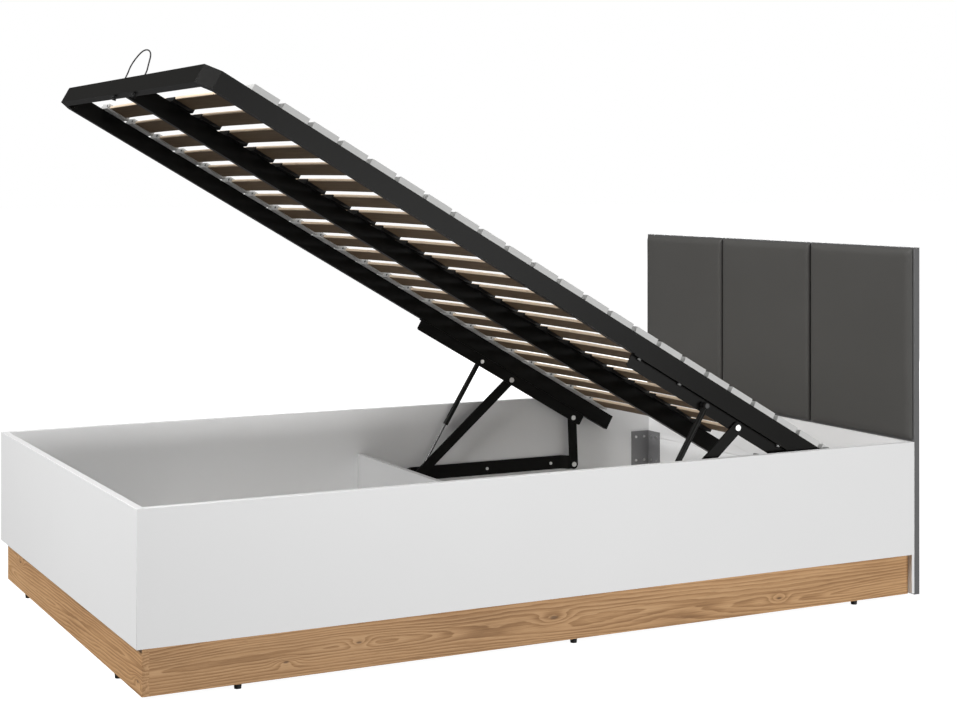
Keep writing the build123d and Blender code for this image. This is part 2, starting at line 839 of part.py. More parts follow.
with BuildPart() as gas_rod_right:
    with BuildSketch(gas_section(piston_end - piston_length)):
        Circle(piston_radius)
    extrude(amount=piston_length)
    with BuildSketch(gas_section(piston_end)):
        Circle(rod_radius)
    extrude(amount=gas_length - piston_end)
    with BuildSketch(gas_section(gas_length - rod_neck_end)):
        Circle(rod_neck_radius)
    extrude(amount=rod_neck_end)
    with BuildSketch(Plane.YZ.offset(eye_inner)):
        with Locations((gas_pin_y, gas_pin_z)):
            Circle(eye_radius)
    extrude(amount=eye_width)
    with BuildSketch(Plane.YZ.offset(pin_start)):
        with Locations((gas_pin_y, gas_pin_z)):
            Circle(stud_radius)
    extrude(amount=eye_inner - pin_start)
gas_rod_right.part.label = "gas_rod_right"
export_step(gas_rod_right.part, "parts/gas_rod_right.step")

with BuildPart() as gas_rod_left:
    mirror(gas_rod_right.part, about=Plane.YZ)
gas_rod_left.part.label = "gas_rod_left"
export_step(gas_rod_left.part, "parts/gas_rod_left.step")

# Lift rails: steel angles bolted under the side rails
side_rail_inner = frame_half_width - tube_width
tube_mid = frame_half_width - tube_width / 2
bolt_line = tube_mid + lift_bolt_shift

with BuildPart() as lift_rail_right:
    with BuildSketch(frame_section(lift_rail_end)):
        with BuildLine():
            Polyline(
                (lift_rail_inner, 0),
                (lift_rail_inner, -lift_rail_depth),
                (lift_rail_outer, -lift_rail_depth),
                (lift_rail_outer, -lift_rail_thickness),
                (frame_half_width, -lift_rail_thickness),
                (frame_half_width, 0),
                close=True,
            )
        make_face()
    extrude(amount=lift_rail_end - lift_rail_start)
    across_edges = lift_rail_right.edges().filter_by(Axis.X)
    lower_corners = [
        across_edges.sort_by_distance((lift_rail_inner, *frame_point(u, -lift_rail_depth)))[0]
        for u in (lift_rail_start, lift_rail_end)
    ]
    fillet(lower_corners, base_rail_corner_radius)
    with BuildSketch(frame_side(lift_rail_inner)):
        with Locations(*upper_pivots):
            Circle(rivet_radius)
        with Locations((gas_pivot_u, gas_pivot_w)):
            Circle(stud_radius)
    extrude(amount=lift_rail_thickness, mode=Mode.SUBTRACT)
    with BuildSketch(frame_underside.offset(-lift_rail_thickness)):
        with Locations(*[(bolt_line, u) for u in lift_bolt_stations]):
            Circle(bolt_radius)
    extrude(amount=lift_rail_thickness, mode=Mode.SUBTRACT)
lift_rail_right.part.label = "lift_rail_right"
export_step(lift_rail_right.part, "parts/lift_rail_right.step")

with BuildPart() as lift_rail_left:
    mirror(lift_rail_right.part, about=Plane.YZ)
lift_rail_left.part.label = "lift_rail_left"
export_step(lift_rail_left.part, "parts/lift_rail_left.step")

bolt_places = [(side * bolt_line, u) for side in (1, -1) for u in lift_bolt_stations]

with BuildPart() as lift_rail_bolts:
    with BuildSketch(frame_underside.offset(-lift_rail_thickness - bolt_head_height)):
        with Locations(*bolt_places):
            RegularPolygon(bolt_head_radius, 6)
    extrude(amount=bolt_head_height)
    with BuildSketch(frame_underside.offset(-lift_rail_thickness)):
        with Locations(*bolt_places):
            Circle(bolt_radius)
    extrude(amount=bolt_length)
lift_rail_bolts.part.label = "lift_rail_bolts"
export_step(lift_rail_bolts.part, "parts/lift_rail_bolts.step")


# Tubes of the frame
def chamfered_end(inset, side):
    """Two corners of the cut-off foot corner, moved into the frame by inset."""
    shift = inset * (sqrt(2) - 1)
    return [
        (side * (frame_half_width - inset), frame_chamfer + shift),
        (side * (frame_half_width - frame_chamfer - shift), inset),
    ]


def crossbar_outline(outer_inset, inner_inset):
    """Outline of the foot crossbar between two insets from the frame's outer edge."""
    outer = chamfered_end(outer_inset, -1) + chamfered_end(outer_inset, 1)[::-1]
    inner = chamfered_end(inner_inset, 1) + chamfered_end(inner_inset, -1)[::-1]
    return outer + inner


with BuildPart() as foot_crossbar:
    with BuildSketch(frame_underside):
        with BuildLine():
            Polyline(*crossbar_outline(0, tube_width), close=True)
        make_face()
    extrude(amount=tube_height)
    with BuildSketch(frame_underside.offset(tube_wall)):
        with BuildLine():
            Polyline(*crossbar_outline(tube_wall, tube_width - tube_wall), close=True)
        make_face()
    extrude(amount=tube_height - 2 * tube_wall, mode=Mode.SUBTRACT)
    with BuildSketch(frame_underside):
        with Locations((cord_points[0][0], cord_station), (cord_points[-1][0], cord_station)):
            Circle(cord_radius + cord_hole_clearance)
    extrude(amount=tube_height, mode=Mode.SUBTRACT)
foot_crossbar.part.label = "foot_crossbar"
export_step(foot_crossbar.part, "parts/foot_crossbar.step")

mitre_inner_u = frame_chamfer + tube_width * (sqrt(2) - 1)

with BuildPart() as side_rail_right:
    with BuildSketch(frame_underside):
        with BuildLine():
            Polyline(
                (frame_half_width, frame_chamfer),
                (side_rail_inner, mitre_inner_u),
                (side_rail_inner, frame_length),
                (frame_half_width, frame_length),
                close=True,
            )
        make_face()
    extrude(amount=tube_height)
    with BuildSketch(frame_underside.offset(tube_wall)):
        rectangle_between(
            side_rail_inner + tube_wall, frame_half_width - tube_wall, 0, frame_length
        )
    extrude(amount=tube_height - 2 * tube_wall, mode=Mode.SUBTRACT)
    with BuildSketch(frame_underside):
        with Locations(*[(bolt_line, u) for u in lift_bolt_stations]):
            Circle(bolt_radius)
    extrude(amount=tube_wall, mode=Mode.SUBTRACT)
side_rail_right.part.label = "side_rail_right"
export_step(side_rail_right.part, "parts/side_rail_right.step")

with BuildPart() as side_rail_left:
    mirror(side_rail_right.part, about=Plane.YZ)
side_rail_left.part.label = "side_rail_left"
export_step(side_rail_left.part, "parts/side_rail_left.step")

with BuildPart() as centre_beam:
    with BuildSketch(frame_underside):
        rectangle_between(-tube_width / 2, tube_width / 2, tube_width, frame_length)
    extrude(amount=tube_height)
    with BuildSketch(frame_underside.offset(tube_wall)):
        rectangle_between(
            -tube_width / 2 + tube_wall, tube_width / 2 - tube_wall, tube_width, frame_length
        )
    extrude(amount=tube_height - 2 * tube_wall, mode=Mode.SUBTRACT)
centre_beam.part.label = "centre_beam"
export_step(centre_beam.part, "parts/centre_beam.step")

# Plastic plugs in the three open tube ends
with BuildPart() as tube_plugs:
    with BuildSketch(frame_section(frame_length + plug_flange)):
        for x in (-tube_mid, 0, tube_mid):
            with Locations((x, tube_height / 2)):
                Rectangle(tube_width, tube_height)
    extrude(amount=plug_flange)
    with BuildSketch(frame_section(frame_length)):
        for x in (-tube_mid, 0, tube_mid):
            with Locations((x, tube_height / 2)):
                Rectangle(tube_width - 2 * tube_wall, tube_height - 2 * tube_wall)
    extrude(amount=plug_depth)
tube_plugs.part.label = "tube_plugs"
export_step(tube_plugs.part, "parts/tube_plugs.step")

# Slats: slightly bowed, rounded along the edges, ends in the caps
slat_bottom = tube_height + cap_floor
slat_offset = (cap_length - slat_width) / 2
slat_radius = (slat_half_length**2 + slat_bow**2) / (2 * slat_bow)


def slat_steps():
    """Shifts from the first slat to every slat of the frame."""
    return [
        Location((0, index * slat_pitch * tilt_cos, -index * slat_pitch * tilt_sin))
        for index in range(slat_count)
    ]


with BuildPart() as first_slat:
    with BuildSketch(frame_section(slat_first_cap + slat_offset + slat_width)):
        with BuildLine():
            lower = ThreePointArc(
                (-slat_half_length, slat_bottom),
                (0, slat_bottom + slat_bow),
                (slat_half_length, slat_bottom),
            )
            upper = ThreePointArc(
                (-slat_half_length, slat_bottom + slat_thickness),
                (0, slat_bottom + slat_bow + slat_thickness),
                (slat_half_length, slat_bottom + slat_thickness),
            )
            Line(lower @ 0, upper @ 0)
            Line(lower @ 1, upper @ 1)
        make_face()
    extrude(amount=slat_width)
    fillet(first_slat.edges().filter_by(GeomType.CIRCLE), slat_edge_radius)

with BuildPart() as slats:
    with Locations(*slat_steps()):
        add(first_slat.part)
slats.part.label = "slats"
export_step(slats.part, "parts/slats.step")

# End caps: a pocket over each slat end, shallow grooves across the top
with BuildPart() as first_cap:
    with BuildSketch(frame_underside.offset(tube_height)):
        rectangle_between(
            cap_inner_end, frame_half_width, slat_first_cap, slat_first_cap + cap_length
        )
    extrude(amount=cap_top - tube_height)
    with BuildSketch(frame_underside.offset(cap_top)):
        for station in cap_groove_stations:
            with Locations((cap_inner_end + station, slat_first_cap + cap_length / 2)):
                Rectangle(cap_groove_width, cap_length)
    extrude(amount=-cap_groove_depth, mode=Mode.SUBTRACT)
    add(first_slat.part, mode=Mode.SUBTRACT)
    mirror(about=Plane.YZ)

with BuildPart() as slat_caps:
    with Locations(*slat_steps()):
        add(first_cap.part)
slat_caps.part.label = "slat_caps"
export_step(slat_caps.part, "parts/slat_caps.step")

# Small black pegs on the foot-facing side of the caps
peg_w = slat_bottom + slat_thickness / 2

with BuildPart() as first_pegs:
    with BuildSketch(frame_section(slat_first_cap)):
        for side in (1, -1):
            with Locations((side * (cap_inner_end + peg_inset), peg_w)):
                Circle(peg_radius)
    extrude(amount=peg_length)

with BuildPart() as slat_cap_pegs:
    with Locations(*slat_steps()):
        add(first_pegs.part)
slat_cap_pegs.part.label = "slat_cap_pegs"
export_step(slat_cap_pegs.part, "parts/slat_cap_pegs.step")

# Clips that hold the slats on the centre beam
clip_rise = slat_bow - slat_radius + sqrt(slat_radius**2 - clip_half_width**2)
clip_floor = slat_bottom + clip_rise
clip_start = slat_first_cap + slat_offset - clip_lip_thickness
clip_end = clip_start + slat_width + 2 * clip_lip_thickness

with BuildPart() as first_clip:
    with BuildSketch(frame_side(-clip_half_width)):
        rectangle_between(clip_start, clip_end, tube_height, clip_floor)
        rectangle_between(
            clip_start, clip_start + clip_lip_thickness, tube_height, clip_floor + clip_lip_height
        )
        rectangle_between(
            clip_end - clip_lip_thickness, clip_end, tube_height, clip_floor + clip_lip_height
        )
    extrude(amount=2 * clip_half_width)

with BuildPart() as slat_clips:
    with Locations(*slat_steps()):
        add(first_clip.part)
slat_clips.part.label = "slat_clips"
export_step(slat_clips.part, "parts/slat_clips.step")


# Pull loop: one cord through two holes of the foot crossbar
def bend_radii(points):
    """Radius of every bend of a route, from the shorter of its two runs and its turn."""
    radii = []
    for before, corner, after in zip(points, points[1:], points[2:]):
        run_in = hypot(corner[0] - before[0], corner[1] - before[1])
        run_out = hypot(after[0] - corner[0], after[1] - corner[1])
        heading_in = atan2(corner[1] - before[1], corner[0] - before[0])
        heading_out = atan2(after[1] - corner[1], after[0] - corner[0])
        turn = abs((degrees(heading_out - heading_in) + 180) % 360 - 180)
        radii.append(cord_bend_share * min(run_in, run_out) / tan(radians(turn / 2)))
    return radii


cord_radii = bend_radii(cord_points)

with BuildPart() as pull_loop:
    with BuildLine(frame_section(cord_station)) as cord_route:
        FilletPolyline(*cord_points, radius=cord_radii)
    start_y, start_z = frame_point(cord_station, cord_points[0][1])
    cord_start = Plane(
        origin=(cord_points[0][0], start_y, start_z),
        x_dir=(1, 0, 0),
        z_dir=(0, tilt_sin, tilt_cos),
    )
    with BuildSketch(cord_start):
        Circle(cord_radius)
    sweep(path=cord_route.wires()[0])
pull_loop.part.label = "pull_loop"
export_step(pull_loop.part, "parts/pull_loop.step")

cord_length = cord_route.wires()[0].length
cord_section = pi * cord_radius**2
print("cord bend radii", [round(radius, 1) for radius in cord_radii])
print("cord length", round(cord_length, 1), "mm")
print("cord volume", round(pull_loop.part.volume, 1))
print("cord section times length", round(cord_section * cord_length, 1))

with BuildPart() as pull_loop_knots:
    for x, w in (cord_points[0], cord_points[-1]):
        y, z = frame_point(cord_station, w)
        with Locations((x, y, z)):
            Sphere(knot_radius)
    add(pull_loop.part, mode=Mode.SUBTRACT)
pull_loop_knots.part.label = "pull_loop_knots"
export_step(pull_loop_knots.part, "parts/pull_loop_knots.step")

print("arm foot", round(arm_foot_y - foot_face, 3), round(arm_foot_z, 3))
print("frame origin", round(frame_origin_y - foot_face, 3), round(frame_origin_z, 3))
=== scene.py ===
from math import cos, pi, radians, sin

import bpy
import numpy as np
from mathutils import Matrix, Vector


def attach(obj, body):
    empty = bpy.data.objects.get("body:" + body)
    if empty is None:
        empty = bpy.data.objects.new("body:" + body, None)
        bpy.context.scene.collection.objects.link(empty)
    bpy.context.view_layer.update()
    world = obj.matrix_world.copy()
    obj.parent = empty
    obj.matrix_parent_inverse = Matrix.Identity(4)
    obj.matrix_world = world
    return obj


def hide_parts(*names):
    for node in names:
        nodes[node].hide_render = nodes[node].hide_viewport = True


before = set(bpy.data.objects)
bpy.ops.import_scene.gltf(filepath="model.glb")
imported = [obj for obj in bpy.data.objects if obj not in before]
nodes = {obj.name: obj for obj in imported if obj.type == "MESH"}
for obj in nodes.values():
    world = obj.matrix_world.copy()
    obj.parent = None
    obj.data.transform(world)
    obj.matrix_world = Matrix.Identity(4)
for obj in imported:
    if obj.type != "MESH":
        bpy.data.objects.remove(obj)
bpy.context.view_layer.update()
scene = bpy.context.scene

# The camera stands at the right of the foot end at about chest height and looks level;
# the picture is cut low, so that the lens shift shows the bed below the horizon.
camera_data = bpy.data.cameras.new("camera")
camera_data.sensor_width = 36
camera_data.lens = 67.07
camera_data.shift_x = 0.0103
camera_data.shift_y = -0.1884
camera_data.clip_end = 200
camera = bpy.data.objects.new("camera", camera_data)
camera.location = (4.1908, -2.0869, 1.0777)
camera.rotation_euler = (radians(90), 0, radians(62.965))
scene.collection.objects.link(camera)
scene.camera = camera
scene.view_settings.view_transform = "Standard"


# Finishes are built from nodes. A Value is one number output of a node, and arithmetic on
# it adds the Math nodes that work the result out on every point of the surface.
class Value:
    def __init__(self, finish, socket):
        self.finish = finish
        self.socket = socket

    def math(self, operation, *others):
        """Result of a Math node on this value and the others."""
        inputs = dict(enumerate((self, *others)))
        return self.finish.node("ShaderNodeMath", {"operation": operation}, inputs)

    def __add__(self, other):
        return self.math("ADD", other)

    def __mul__(self, other):
        return self.math("MULTIPLY", other)

    def __sub__(self, other):
        return self.math("SUBTRACT", other)

    def __rsub__(self, other):
        return self.finish.node("ShaderNodeMath", {"operation": "SUBTRACT"}, {0: other, 1: self})

    def __truediv__(self, other):
        return self.math("DIVIDE", other)

    __radd__ = __add__
    __rmul__ = __mul__

    def step(self, start, end):
        """0 below start, 1 above end and a smooth rise between them."""
        settings = {"interpolation_type": "SMOOTHSTEP"}
        inputs = {"Value": self, "From Min": start, "From Max": end}
        return self.finish.node("ShaderNodeMapRange", settings, inputs)


class Finish:
    """A material of one name with a Principled shader, filled node by node."""

    def __init__(self, name, **constants):
        self.material = bpy.data.materials.new(name)
        self.material.use_nodes = True
        self.tree = self.material.node_tree
        self.shader = self.tree.nodes["Principled BSDF"]
        for socket, value in constants.items():
            self.shader.inputs[socket.replace("_", " ")].default_value = value

    def node(self, kind, settings=None, inputs=None, output=0):
        """Adds a node, sets its settings, then its inputs, and returns one output."""
        made = self.tree.nodes.new(kind)
        for setting, value in (settings or {}).items():
            if setting == "stops":
                ramp = made.color_ramp.elements
                while len(ramp) < len(value):
                    ramp.new(0.5)
                for element, (position, colour) in zip(ramp, value):
                    element.position = position
                    element.color = (*colour, 1)
            else:
                setattr(made, setting, value)
        for socket, value in (inputs or {}).items():
            self.feed(made.inputs[socket], value)
        return Value(self, made.outputs[output])

    def feed(self, socket, value):
        """Gives a socket a link or a constant."""
        if isinstance(value, Value):
            self.tree.links.new(value.socket, socket)
        else:
            socket.default_value = value

    def shade(self, socket, value):
        """Feeds one input of the shader."""
        self.feed(self.shader.inputs[socket], value)

    def place(self, scale=(1, 1, 1), source="Object"):
        """Coordinates on the piece, stretched."""
        coordinates = self.node("ShaderNodeTexCoord", output=source)
        return self.node("ShaderNodeMapping", inputs={"Vector": coordinates, "Scale": scale})

    def axes(self, vector):
        """The three parts of a vector as values."""
        parts = self.node("ShaderNodeSeparateXYZ", inputs={0: vector})
        return [Value(self, output) for output in parts.socket.node.outputs]

    def noise(self, vector, scale, detail=2, roughness=0.5):
        """Smooth noise between 0 and 1."""
        inputs = {"Vector": vector, "Scale": scale, "Detail": detail, "Roughness": roughness}
        return self.node("ShaderNodeTexNoise", inputs=inputs)

    def blend(self, factor, first, second):
        """Mixes two colours by a factor."""
        settings = {"data_type": "RGBA", "blend_type": "MIX"}
        made = self.node("ShaderNodeMix", settings, output=2)
        sockets = made.socket.node.inputs
        for socket, value in ((sockets[0], factor), (sockets[6], first), (sockets[7], second)):
            if isinstance(value, tuple):
                value = (*value, 1)
            self.feed(socket, value)
        return made

    def bump(self, height, distance, strength=1):
        """Feeds the shader's normal from a height, in metres at height 1."""
        inputs = {"Height": height, "Distance": distance, "Strength": strength}
        self.shade("Normal", self.node("ShaderNodeBump", inputs=inputs))


def dress(finish, *names):
    """Gives CAD nodes a finish in all their material slots."""
    for name in names:
        for material_slot in nodes[name].material_slots:
            material_slot.material = finish.material


def new_piece(name, points, faces, finish, body):
    """A mesh piece from an array of points and a list of faces, riding on a body."""
    mesh = bpy.data.meshes.new(name)
    mesh.from_pydata(points.tolist(), [], faces)
    mesh.polygons.foreach_set("use_smooth", [True] * len(mesh.polygons))
    mesh.materials.append(finish.material)
    piece = bpy.data.objects.new(name, mesh)
    scene.collection.objects.link(piece)
    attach(piece, body)
    return piece


# The pull loop is a thin braided black cord through two holes in the foot crossbar,
# held under the tube by a knot at each end. It stands up in a stiff lopsided arch.
tilt = radians(29.9)
frame_origin = np.array([0, -0.887974, 1.283935])
along_frame = np.array([0, cos(tilt), -sin(tilt)])
above_frame = np.array([0, sin(tilt), cos(tilt)])
loop_station = 0.010
loop_diameter = 0.0036
loop_sides = 16
loop_points = [
    (-0.070, -0.006),
    (-0.070, 0.057),
    (-0.094, 0.092),
    (-0.066, 0.129),
    (-0.016, 0.132),
    (0.040, 0.115),
    (0.073, 0.078),
    (0.095, 0.057),
    (0.095, -0.006),
]

loop_curve = bpy.data.curves.new("loop_route", "CURVE")
loop_curve.dimensions = "3D"
loop_curve.resolution_u = 48
spline = loop_curve.splines.new("NURBS")
spline.points.add(len(loop_points) - 1)
for point, (across, above) in zip(spline.points, loop_points):
    place = frame_origin + along_frame * loop_station + above_frame * above
    point.co = (across, place[1], place[2], 1)
spline.order_u = 3
spline.use_endpoint_u = True
route_object = bpy.data.objects.new("loop_route", loop_curve)
route_mesh = bpy.data.meshes.new_from_object(route_object)
route = np.empty(len(route_mesh.vertices) * 3)
route_mesh.vertices.foreach_get("co", route)
route = route.reshape(-1, 3)
bpy.data.objects.remove(route_object)

cord_finish = Finish("braided_cord", Roughness=0.8)
around, along, _ = cord_finish.axes(cord_finish.place(source="UV"))
strands = ((around * 8 + along * 300) * 2 * pi).math("SINE")
counter_strands = ((around * 8 - along * 300) * 2 * pi).math("SINE")
braid = strands.math("MAXIMUM", counter_strands)
cord_colour = cord_finish.blend(braid, (0.006, 0.006, 0.006), (0.03, 0.03, 0.03))
cord_finish.shade("Base Color", cord_colour)
cord_finish.bump(braid, 0.0002)


def swept_tube(name, path, radius, sides, side_direction, closed=False):
    """A tube along a path of points: each ring is the path's point plus radius times
    cos(angle) along the side direction and sin(angle) along tangent cross side. A closed
    tube joins its last ring to its first, and an open one has a flat face on each end."""
    tangent = np.gradient(path, axis=0)
    tangent /= np.linalg.norm(tangent, axis=1, keepdims=True)
    side = side_direction - tangent * (tangent @ side_direction)[:, None]
    side /= np.linalg.norm(side, axis=1, keepdims=True)
    other = np.cross(tangent, side)
    angle = np.arange(sides) * 2 * pi / sides
    points = path[:, None]
    points = points + side[:, None] * (radius * np.cos(angle))[None, :, None]
    points = points + other[:, None] * (radius * np.sin(angle))[None, :, None]

    rings = len(path)
    bands = rings if closed else rings - 1
    ring, column = np.meshgrid(np.arange(bands), np.arange(sides), indexing="ij")
    next_ring = (ring + 1) % rings
    next_column = (column + 1) % sides
    corners = (
        ring * sides + column,
        ring * sides + next_column,
        next_ring * sides + next_column,
        next_ring * sides + column,
    )
    faces = np.stack(corners, axis=-1).reshape(-1, 4).tolist()
    if not closed:
        faces.append(list(range(sides - 1, -1, -1)))
        faces.append(list(range((rings - 1) * sides, rings * sides)))
    piece = new_piece(name, points.reshape(-1, 3), faces, cord_finish, "frame")

    steps = np.linalg.norm(np.diff(path, axis=0), axis=1)
    distance = np.concatenate([[0], np.cumsum(steps)])
    around_part = np.stack([column, column + 1, column + 1, column], axis=-1) / sides
    along_part = distance[np.stack([ring, ring, next_ring, next_ring], axis=-1)]
    unwrapped = np.zeros((len(piece.data.loops), 2))
    unwrapped[: around_part.size] = np.stack([around_part, along_part], axis=-1).reshape(-1, 2)
    layer = piece.data.uv_layers.new(name="along")
    layer.data.foreach_set("uv", unwrapped.ravel())
    return piece, distance[-1]


pull_cord, cord_length = swept_tube(
    "pull_cord", route, loop_diameter / 2, loop_sides, along_frame
)
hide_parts("pull_loop")
print("pull cord length", round(cord_length, 4))


knot_size = 0.0050
knot_radius = 0.0018
knot_rings = 120
knot_sides = 12


def knot_path(centre):
    """Trefoil: t goes once round the circle, while the path goes twice round the centre at
    (2 + cos(3 t)) / 3 of the size, and up and down by sin(3 t) / 2 of the size."""
    t = np.arange(knot_rings) * 2 * pi / knot_rings
    radius = (2 + np.cos(3 * t)) / 3 * knot_size
    return centre + (
        np.outer(radius * np.cos(2 * t), (1, 0, 0))
        + np.outer(radius * np.sin(2 * t), along_frame)
        + np.outer(np.sin(3 * t) * knot_size * 0.5, above_frame)
    )


for name, (across, above) in (("knot_left", loop_points[0]), ("knot_right", loop_points[-1])):
    centre = frame_origin + along_frame * loop_station + above_frame * above
    centre[0] = across
    path = knot_path(centre)
    knot, _ = swept_tube(name, path, knot_radius, knot_sides, above_frame, closed=True)
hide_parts("pull_loop_knots")
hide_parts("pull_loop_knots")

# The box is made of white melamine boards, screwed together at the corners: two long
# sides, the foot panel over their ends and a thin head panel behind them.
white = Finish("white_melamine", Roughness=0.42, Specular_IOR_Level=0.4)
skin = white.place()
pebbles = white.noise(skin, 700, 2)
clouds = white.noise(skin, 3, 2)
white.shade("Base Color", white.blend(clouds, (0.80, 0.80, 0.80), (0.83, 0.83, 0.83)))
white.bump(pebbles, 0.00006)
dress(white, "side_panel_right", "side_panel_left", "foot_panel", "head_panel")

# The low partition between the two bays is a white board, coloured pale grey as painted shade. It
# is screwed on through the long sides.
partition_painted_shade = Finish("white_melamine_painted_shade", Roughness=0.45, Specular_IOR_Level=0.4)
skin = partition_painted_shade.place()
clouds = partition_painted_shade.noise(skin, 3, 2)
# painted shade: the white partition board gets pale grey tones instead of white
partition_painted_shade.shade("Base Color", partition_painted_shade.blend(clouds, (0.38, 0.38, 0.38), (0.41, 0.41, 0.41)))
partition_painted_shade.bump(partition_painted_shade.noise(skin, 700, 2), 0.00006)
dress(partition_painted_shade, "partition")


def soften(width, *names):
    """Rounds the sharp edges of CAD nodes by a small width."""
    for name in names:
        weld = nodes[name].modifiers.new("weld", "WELD")
        weld.merge_threshold = 0.00001
        bevel = nodes[name].modifiers.new("rounding", "BEVEL")
        bevel.width = width
        bevel.segments = 2
        bevel.limit_method = "ANGLE"
        bevel.angle_limit = radians(40)
        bevel.harden_normals = True


soften(0.0006, "side_panel_right", "side_panel_left", "foot_panel", "head_panel", "partition")

# The plinth is made of boards with an oak face, set back under the box: flat-sawn grain
# with small knots, which runs along each board.
def oak_finish(name, long_axis, knots_at, shift):
    """Rings of a log cut lengthwise: the distance to a wandering pith line times the rings
    per metre, plus a ripple. Near a knot the rings are pushed outwards by a bell curve."""
    pith_height = 0.055
    rings_per_metre = 150
    knot_stretch = 0.35
    knot_push = 2.6
    oak = Finish(name, Roughness=0.55, Specular_IOR_Level=0.3)
    x, y, z = oak.axes(oak.place())
    along = x if long_axis == 0 else y
    depth = y if long_axis == 0 else x
    grain_line = {0: along * 0.42 + shift, 1: z * 3.0, 2: depth * 3.0}
    line = oak.node("ShaderNodeCombineXYZ", inputs=grain_line)
    sway = oak.noise(line, 2.0, 2, 0.45)
    lift = oak.noise(line, 1.1, 1, 0.4)
    ripple = oak.noise(line, 11, 3, 0.6)
    height = z - pith_height + (lift - 0.5) * 0.12
    away = (sway - 0.5) * 0.46 + 0.02
    radius = (height * height + away * away * 0.10).math("SQRT")
    rings = radius * rings_per_metre + ripple * 1.8
    dark_spot = None
    for knot_along, knot_height, size in knots_at:
        gap_along = (along - knot_along) * knot_stretch
        gap_height = z - knot_height
        gap = (gap_along * gap_along + gap_height * gap_height).math("SQRT") / size
        rings = rings + (gap * gap * -0.35).math("EXPONENT") * knot_push
        core = 1 - gap.step(0.15, 0.60)
        dark_spot = core if dark_spot is None else dark_spot.math("MAXIMUM", core)
    saw = rings.math("FRACT")
    late_wood = saw.step(0.05, 0.90) * (1 - saw.step(0.90, 1.0))
    streak_line = oak.node(
        "ShaderNodeCombineXYZ", inputs={0: along * 7 + shift, 1: z * 300, 2: depth * 300}
    )
    streaks = oak.noise(streak_line, 1, 4, 0.65)
    pore_line = oak.node(
        "ShaderNodeCombineXYZ", inputs={0: along * 45, 1: z * 900, 2: depth * 900}
    )
    pores = oak.noise(pore_line, 1, 1).step(0.64, 0.78)
    patches = oak.noise(line, 4.0, 3)
    tone = late_wood * 0.20 + streaks * 0.50 + patches * 0.42
    settings = {
        "stops": [
            (0.30, (0.650, 0.400, 0.205)),
            (0.50, (0.530, 0.305, 0.142)),
            (0.66, (0.370, 0.200, 0.086)),
            (0.90, (0.190, 0.095, 0.040)),
        ]
    }
    colour = oak.node("ShaderNodeValToRGB", settings, {"Fac": tone})
    colour = oak.blend(pores * 0.30, colour, (0.16, 0.085, 0.04))
    colour = oak.blend(dark_spot * 0.75, colour, (0.09, 0.045, 0.022))
    oak.shade("Base Color", colour)
    oak.shade("Roughness", 0.50 + late_wood * 0.12)
    oak.bump(streaks * 0.5 - pores * 0.5 + late_wood * 0.3, 0.0002)
    return oak


long_oak = oak_finish(
    "oak_long",
    1,
    [(-0.70, 0.044, 0.006), (-0.53, 0.066, 0.006), (-0.04, 0.066, 0.010), (0.60, 0.042, 0.006)],
    7.3,
)
foot_oak = oak_finish("oak_foot", 0, [(-0.47, 0.082, 0.007), (0.585, 0.036, 0.007)], 2.1)
dress(long_oak, "plinth_right", "plinth_left")
dress(foot_oak, "plinth_foot")

# Boards that nobody sees: raw chipboard behind and under the bays, and the thin white
# hardboard floors that lie on battens.
chipboard = Finish("raw_chipboard", Roughness=0.85)
flake_inputs = {"Vector": chipboard.place(scale=(1, 1, 2.5)), "Scale": 320}
flakes = chipboard.node("ShaderNodeTexVoronoi", inputs=flake_inputs, output=1)
flake_tone, _, _ = chipboard.axes(flakes)
chipboard.shade(
    "Base Color", chipboard.blend(flake_tone, (0.42, 0.30, 0.18), (0.66, 0.52, 0.35))
)
chipboard.bump(flake_tone, 0.0003)
dress(chipboard, "plinth_rear", "floor_battens", "centre_bearer")

hardboard = Finish("white_hardboard", Roughness=0.5)
fibres = hardboard.noise(hardboard.place(), 260, 4)
hardboard.shade("Base Color", hardboard.blend(fibres, (0.66, 0.66, 0.65), (0.74, 0.74, 0.73)))
hardboard.bump(fibres, 0.0001)
dress(hardboard, "storage_floor_foot", "storage_floor_head")

# Small moulded parts of black plastic: glides under the plinth, plugs in the tube ends,
# clips on the centre beam and pegs in the slat caps.
black_plastic = Finish("black_plastic", Roughness=0.5, Specular_IOR_Level=0.35)
grain = black_plastic.noise(black_plastic.place(), 1800, 2)
black_plastic.shade(
    "Base Color", black_plastic.blend(grain, (0.006, 0.006, 0.006), (0.012, 0.012, 0.012))
)
black_plastic.bump(grain, 0.00005)
dress(black_plastic, "glides", "tube_plugs", "slat_clips", "slat_cap_pegs")

# Corner brackets and the plate at the head are folded steel with a dull grey coat.
bracket_coat = Finish("grey_coat", Roughness=0.45, Metallic=0.2)
speckle = bracket_coat.noise(bracket_coat.place(), 900, 3)
bracket_coat.shade(
    "Base Color", bracket_coat.blend(speckle, (0.18, 0.18, 0.185), (0.24, 0.24, 0.245))
)
bracket_coat.bump(speckle, 0.00008)
dress(bracket_coat, "corner_brackets", "head_bracket")

# Screws hold the brackets and the base rails to the boards, bolts hold the lift rails to
# the tubes, and the arms turn on rivets and studs. All are zinc-plated steel.
zinc = Finish("zinc_plate", Metallic=1.0)
brushing = zinc.noise(zinc.place(scale=(1, 6, 1)), 700, 3)
zinc.shade("Base Color", zinc.blend(brushing, (0.62, 0.62, 0.61), (0.80, 0.80, 0.79)))
zinc.shade("Roughness", 0.30 + brushing * 0.16)
dress(
    zinc,
    "bracket_screws",
    "base_rail_screws",
    "base_rivets",
    "long_arm_stud_right",
    "long_arm_stud_left",
    "lift_rail_rivets",
    "lift_rail_bolts",
)
